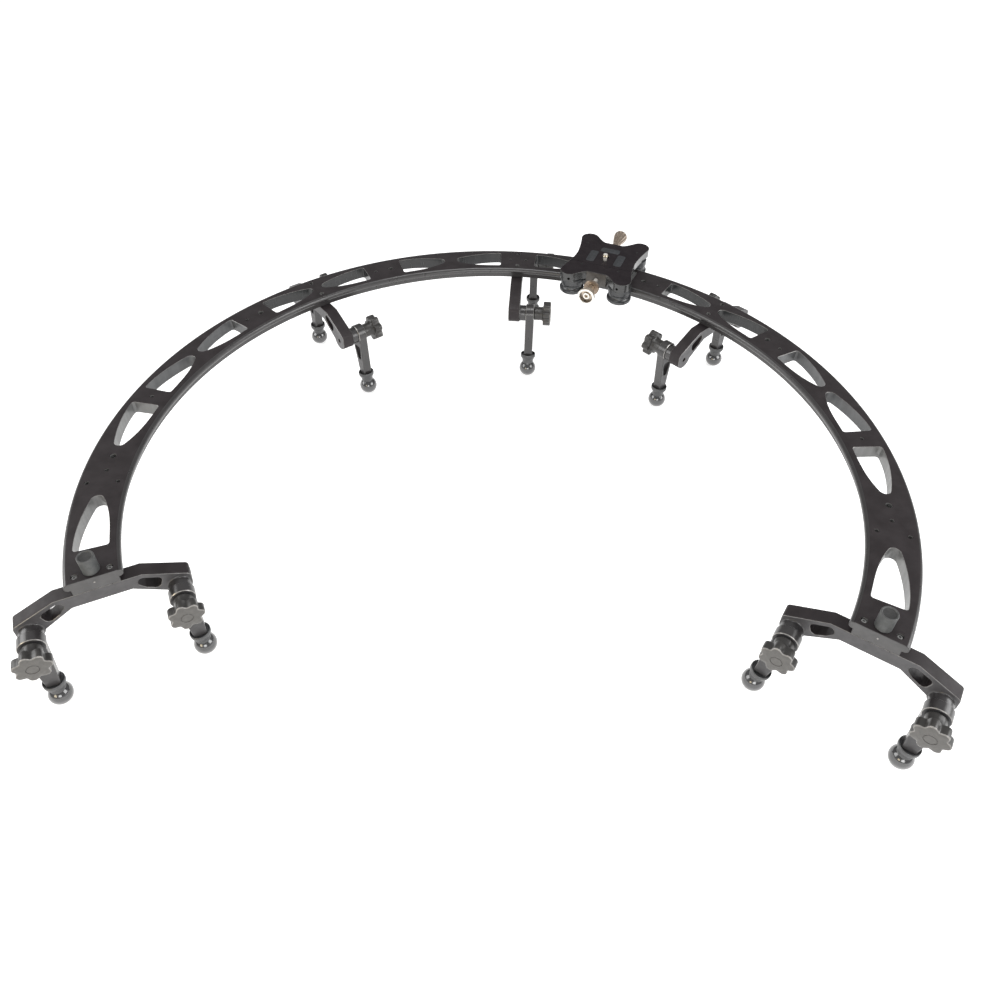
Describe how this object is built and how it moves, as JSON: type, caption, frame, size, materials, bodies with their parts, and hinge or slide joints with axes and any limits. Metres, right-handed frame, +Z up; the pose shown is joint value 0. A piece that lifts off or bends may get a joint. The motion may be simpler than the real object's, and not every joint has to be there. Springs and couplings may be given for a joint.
{
  "type": "circular camera slider",
  "caption": "Curved camera slider: a windowed arc rail on bracket pairs of folding ball-footed legs, with a rolling four-wheel camera carriage.",
  "frame": {"origin": "bottom centre of the bounding box, on the floor under the ball feet", "axes": "+X to the right across the arc, +Y from the open side to the middle of the arc, +Z up"},
  "size_m": [1.22, 1.0836, 0.2364],
  "materials": {
    "black_anodised": "satin black anodised",
    "black_plastic": "satin black moulded",
    "gloss_rubber": "glossy black",
    "rubber": "matte dark grey",
    "steel": "bright turned",
    "champagne": "champagne anodised, knurled",
    "bronze": "dark bronze anodised, fluted"
  },
  "bodies": {
    "root": {"curved_rail": "black_anodised", "end_bumper_left": "rubber", "end_bumper_right": "rubber", "bracket_left": "black_anodised", "bracket_mid_left": "black_anodised", "bracket_centre": "black_anodised", "bracket_mid_right": "black_anodised", "bracket_right": "black_anodised"},
    "carriage": {"main_plate": "black_anodised", "guide_pin_left": "steel", "guide_pin_right": "steel", "grip_pad_left": "rubber", "grip_pad_right": "rubber", "grip_pad_rear": "rubber", "axle_bolt_rear_left": "steel", "axle_bolt_rear_right": "steel"},
    "jaw": {"front_jaw": "black_anodised", "axle_bolt_front_left": "steel", "axle_bolt_front_right": "steel"},
    "wheel_rear_left": {"wheel_rear_left": "black_plastic"},
    "wheel_rear_right": {"wheel_rear_right": "black_plastic"},
    "wheel_front_left": {"wheel_front_left": "black_plastic"},
    "wheel_front_right": {"wheel_front_right": "black_plastic"},
    "tension_knob": {"tension_knob": "champagne", "tension_collar": "bronze"},
    "brake_knob": {"brake_knob": "bronze"},
    "brake_shoe": {"brake_shoe": "steel"},
    "camera_screw": {"camera_screw": "steel"},
    "leg_left_inner": {"leg_left_inner": "black_anodised"},
    "clamp_knob_left_inner": {"clamp_knob_left_inner": "black_plastic"},
    "ball_foot_left_inner": {"ball_foot_left_inner": "gloss_rubber"},
    "leg_left_outer": {"leg_left_outer": "black_anodised"},
    "clamp_knob_left_outer": {"clamp_knob_left_outer": "black_plastic"},
    "ball_foot_left_outer": {"ball_foot_left_outer": "gloss_rubber"},
    "leg_mid_left_inner": {"leg_mid_left_inner": "black_anodised"},
    "clamp_knob_mid_left_inner": {"clamp_knob_mid_left_inner": "black_plastic"},
    "ball_foot_mid_left_inner": {"ball_foot_mid_left_inner": "gloss_rubber"},
    "leg_mid_left_outer": {"leg_mid_left_outer": "black_anodised"},
    "clamp_knob_mid_left_outer": {"clamp_knob_mid_left_outer": "black_plastic"},
    "ball_foot_mid_left_outer": {"ball_foot_mid_left_outer": "gloss_rubber"},
    "leg_centre_inner": {"leg_centre_inner": "black_anodised"},
    "clamp_knob_centre_inner": {"clamp_knob_centre_inner": "black_plastic"},
    "ball_foot_centre_inner": {"ball_foot_centre_inner": "gloss_rubber"},
    "leg_centre_outer": {"leg_centre_outer": "black_anodised"},
    "clamp_knob_centre_outer": {"clamp_knob_centre_outer": "black_plastic"},
    "ball_foot_centre_outer": {"ball_foot_centre_outer": "gloss_rubber"},
    "leg_mid_right_inner": {"leg_mid_right_inner": "black_anodised"},
    "clamp_knob_mid_right_inner": {"clamp_knob_mid_right_inner": "black_plastic"},
    "ball_foot_mid_right_inner": {"ball_foot_mid_right_inner": "gloss_rubber"},
    "leg_mid_right_outer": {"leg_mid_right_outer": "black_anodised"},
    "clamp_knob_mid_right_outer": {"clamp_knob_mid_right_outer": "black_plastic"},
    "ball_foot_mid_right_outer": {"ball_foot_mid_right_outer": "gloss_rubber"},
    "leg_right_inner": {"leg_right_inner": "black_anodised"},
    "clamp_knob_right_inner": {"clamp_knob_right_inner": "black_plastic"},
    "ball_foot_right_inner": {"ball_foot_right_inner": "gloss_rubber"},
    "leg_right_outer": {"leg_right_outer": "black_anodised"},
    "clamp_knob_right_outer": {"clamp_knob_right_outer": "black_plastic"},
    "ball_foot_right_outer": {"ball_foot_right_outer": "gloss_rubber"}
  },
  "joints": [
    {"name": "carriage_travel", "type": "hinge", "parent": "root", "child": "carriage", "pos_m": [0, -0.15007, 0.1969], "axis": [0, 0, 1], "range_deg": [-93, 128.3]},
    {"name": "jaw_slide", "type": "slide", "parent": "carriage", "child": "jaw", "axis": [-0.3032, -0.9529, 0], "range_m": [0, 0.002]},
    {"name": "wheel_rear_left_spin", "type": "hinge", "parent": "carriage", "child": "wheel_rear_left", "pos_m": [0.14454, 0.46251, 0.1969], "axis": [0, 0, 1], "range_deg": [-2970, 4090]},
    {"name": "wheel_rear_right_spin", "type": "hinge", "parent": "carriage", "child": "wheel_rear_right", "pos_m": [0.23602, 0.4334, 0.1969], "axis": [0, 0, 1], "range_deg": [-2970, 4090]},
    {"name": "wheel_front_left_spin", "type": "hinge", "parent": "jaw", "child": "wheel_front_left", "pos_m": [0.11022, 0.35463, 0.1969], "axis": [0, 0, 1], "range_deg": [-3600, 2610]},
    {"name": "wheel_front_right_spin", "type": "hinge", "parent": "jaw", "child": "wheel_front_right", "pos_m": [0.2017, 0.32553, 0.1969], "axis": [0, 0, 1], "range_deg": [-3600, 2610]},
    {"name": "tension_knob_turn", "type": "hinge", "parent": "carriage", "child": "tension_knob", "pos_m": [0.15554, 0.33878, 0.2099], "axis": [-0.3032, -0.9529, 0], "range_deg": [0, 721]},
    {"name": "brake_knob_turn", "type": "hinge", "parent": "carriage", "child": "brake_knob", "pos_m": [0.19193, 0.45313, 0.2164], "axis": [0.3032, 0.9529, 0], "range_deg": [0, 361]},
    {"name": "brake_shoe_lift", "type": "slide", "parent": "carriage", "child": "brake_shoe", "axis": [0, 0, 1], "range_m": [0, 0.0005]},
    {"name": "camera_screw_turn", "type": "hinge", "parent": "carriage", "child": "camera_screw", "pos_m": [0.17252, 0.39214, 0.2254], "axis": [0, 0, 1], "continuous": true},
    {"name": "leg_left_inner_swing", "type": "hinge", "parent": "root", "child": "leg_left_inner", "pos_m": [-0.40744, -0.40104, 0.1332], "axis": [0.4879, -0.8729, 0], "range_deg": [-42.6, 87.4]},
    {"name": "clamp_knob_left_inner_turn", "type": "hinge", "parent": "root", "child": "clamp_knob_left_inner", "pos_m": [-0.40339, -0.40828, 0.1332], "axis": [0.4879, -0.8729, 0], "range_deg": [0, 540]},
    {"name": "ball_foot_left_inner_screw", "type": "slide", "parent": "leg_left_inner", "child": "ball_foot_left_inner", "axis": [0.0396, 0.0221, -0.999], "range_m": [-0.00012, 0.01188]},
    {"name": "leg_left_outer_swing", "type": "hinge", "parent": "root", "child": "leg_left_outer", "pos_m": [-0.57312, -0.49363, 0.1332], "axis": [0.4879, -0.8729, 0], "range_deg": [-89, 41]},
    {"name": "clamp_knob_left_outer_turn", "type": "hinge", "parent": "root", "child": "clamp_knob_left_outer", "pos_m": [-0.56907, -0.50088, 0.1332], "axis": [0.4879, -0.8729, 0], "range_deg": [0, 540]},
    {"name": "ball_foot_left_outer_screw", "type": "slide", "parent": "leg_left_outer", "child": "ball_foot_left_outer", "axis": [-0.0152, -0.0085, -0.9998], "range_m": [-0.00002, 0.01198]},
    {"name": "leg_mid_left_inner_swing", "type": "hinge", "parent": "root", "child": "leg_mid_left_inner", "pos_m": [-0.29336, 0.22875, 0.1332], "axis": [0.749, 0.6626, 0], "range_deg": [-82.8, 47.2]},
    {"name": "clamp_knob_mid_left_inner_turn", "type": "hinge", "parent": "root", "child": "clamp_knob_mid_left_inner", "pos_m": [-0.28714, 0.23425, 0.1332], "axis": [0.749, 0.6626, 0], "range_deg": [0, 540]},
    {"name": "ball_foot_mid_left_inner_screw", "type": "slide", "parent": "leg_mid_left_inner", "child": "ball_foot_mid_left_inner", "axis": [0.083, -0.0939, -0.9921], "range_m": [-0.00093, 0.01107]},
    {"name": "leg_mid_left_outer_swing", "type": "hinge", "parent": "root", "child": "leg_mid_left_outer", "pos_m": [-0.41912, 0.3709, 0.1332], "axis": [0.749, 0.6626, 0], "range_deg": [-41.5, 88.5]},
    {"name": "clamp_knob_mid_left_outer_turn", "type": "hinge", "parent": "root", "child": "clamp_knob_mid_left_outer", "pos_m": [-0.41291, 0.3764, 0.1332], "axis": [0.749, 0.6626, 0], "range_deg": [0, 540]},
    {"name": "ball_foot_mid_left_outer_screw", "type": "slide", "parent": "leg_mid_left_outer", "child": "ball_foot_mid_left_outer", "axis": [-0.0173, 0.0196, -0.9997], "range_m": [-0.00004, 0.01196]},
    {"name": "leg_centre_inner_swing", "type": "hinge", "parent": "root", "child": "leg_centre_inner", "pos_m": [0.0313, 0.32803, 0.1332], "axis": [1, 0, 0], "range_deg": [-78.3, 51.7]},
    {"name": "clamp_knob_centre_inner_turn", "type": "hinge", "parent": "root", "child": "clamp_knob_centre_inner", "pos_m": [0.0396, 0.32803, 0.1332], "axis": [1, 0, 0], "range_deg": [0, 540]},
    {"name": "ball_foot_centre_inner_screw", "type": "slide", "parent": "leg_centre_inner", "child": "ball_foot_centre_inner", "axis": [0, -0.2028, -0.9792], "range_m": [-0.00248, 0.00952]},
    {"name": "leg_centre_outer_swing", "type": "hinge", "parent": "root", "child": "leg_centre_outer", "pos_m": [0.0313, 0.51783, 0.1332], "axis": [1, 0, 0], "range_deg": [-41, 89]},
    {"name": "clamp_knob_centre_outer_turn", "type": "hinge", "parent": "root", "child": "clamp_knob_centre_outer", "pos_m": [0.0396, 0.51783, 0.1332], "axis": [1, 0, 0], "range_deg": [0, 540]},
    {"name": "ball_foot_centre_outer_screw", "type": "slide", "parent": "leg_centre_outer", "child": "ball_foot_centre_outer", "axis": [0, 0.0175, -0.9998], "range_m": [-0.00002, 0.01198]},
    {"name": "leg_mid_right_inner_swing", "type": "hinge", "parent": "root", "child": "leg_mid_right_inner", "pos_m": [0.29336, 0.22875, 0.1332], "axis": [-0.749, 0.6626, 0], "range_deg": [-41.2, 88.8]},
    {"name": "clamp_knob_mid_right_inner_turn", "type": "hinge", "parent": "root", "child": "clamp_knob_mid_right_inner", "pos_m": [0.28714, 0.23425, 0.1332], "axis": [-0.749, 0.6626, 0], "range_deg": [0, 540]},
    {"name": "ball_foot_mid_right_inner_screw", "type": "slide", "parent": "leg_mid_right_inner", "child": "ball_foot_mid_right_inner", "axis": [-0.0139, -0.0157, -0.9998], "range_m": [-0.00003, 0.01197]},
    {"name": "leg_mid_right_outer_swing", "type": "hinge", "parent": "root", "child": "leg_mid_right_outer", "pos_m": [0.41912, 0.3709, 0.1332], "axis": [-0.749, 0.6626, 0], "range_deg": [-89.7, 40.3]},
    {"name": "clamp_knob_mid_right_outer_turn", "type": "hinge", "parent": "root", "child": "clamp_knob_mid_right_outer", "pos_m": [0.41291, 0.3764, 0.1332], "axis": [-0.749, 0.6626, 0], "range_deg": [0, 540]},
    {"name": "ball_foot_mid_right_outer_screw", "type": "slide", "parent": "leg_mid_right_outer", "child": "ball_foot_mid_right_outer", "axis": [0.0035, 0.0039, -1], "range_m": [0, 0.012]},
    {"name": "leg_right_inner_swing", "type": "hinge", "parent": "root", "child": "leg_right_inner", "pos_m": [0.40744, -0.40104, 0.1332], "axis": [-0.4879, -0.8729, 0], "range_deg": [-80.2, 49.8]},
    {"name": "clamp_knob_right_inner_turn", "type": "hinge", "parent": "root", "child": "clamp_knob_right_inner", "pos_m": [0.40339, -0.40828, 0.1332], "axis": [-0.4879, -0.8729, 0], "range_deg": [0, 540]},
    {"name": "ball_foot_right_inner_screw", "type": "slide", "parent": "leg_right_inner", "child": "ball_foot_right_inner", "axis": [-0.1486, 0.083, -0.9854], "range_m": [-0.00173, 0.01027]},
    {"name": "leg_right_outer_swing", "type": "hinge", "parent": "root", "child": "leg_right_outer", "pos_m": [0.57312, -0.49363, 0.1332], "axis": [-0.4879, -0.8729, 0], "range_deg": [-37.3, 92.7]},
    {"name": "clamp_knob_right_outer_turn", "type": "hinge", "parent": "root", "child": "clamp_knob_right_outer", "pos_m": [0.56907, -0.50088, 0.1332], "axis": [-0.4879, -0.8729, 0], "range_deg": [0, 540]},
    {"name": "ball_foot_right_outer_screw", "type": "slide", "parent": "leg_right_outer", "child": "ball_foot_right_outer", "axis": [-0.0411, 0.023, -0.9989], "range_m": [-0.00013, 0.01187]}
  ],
  "couplings": [
    {"joint": "wheel_rear_left_spin", "follows": "carriage_travel", "ratio": 31.771},
    {"joint": "wheel_rear_right_spin", "follows": "carriage_travel", "ratio": 31.771},
    {"joint": "wheel_front_left_spin", "follows": "carriage_travel", "ratio": -27.917},
    {"joint": "wheel_front_right_spin", "follows": "carriage_travel", "ratio": -27.917},
    {"joint": "tension_knob_turn", "follows": "jaw_slide", "rad_per_m": 6283.2},
    {"joint": "brake_knob_turn", "follows": "brake_shoe_lift", "rad_per_m": 12566}
  ]
}
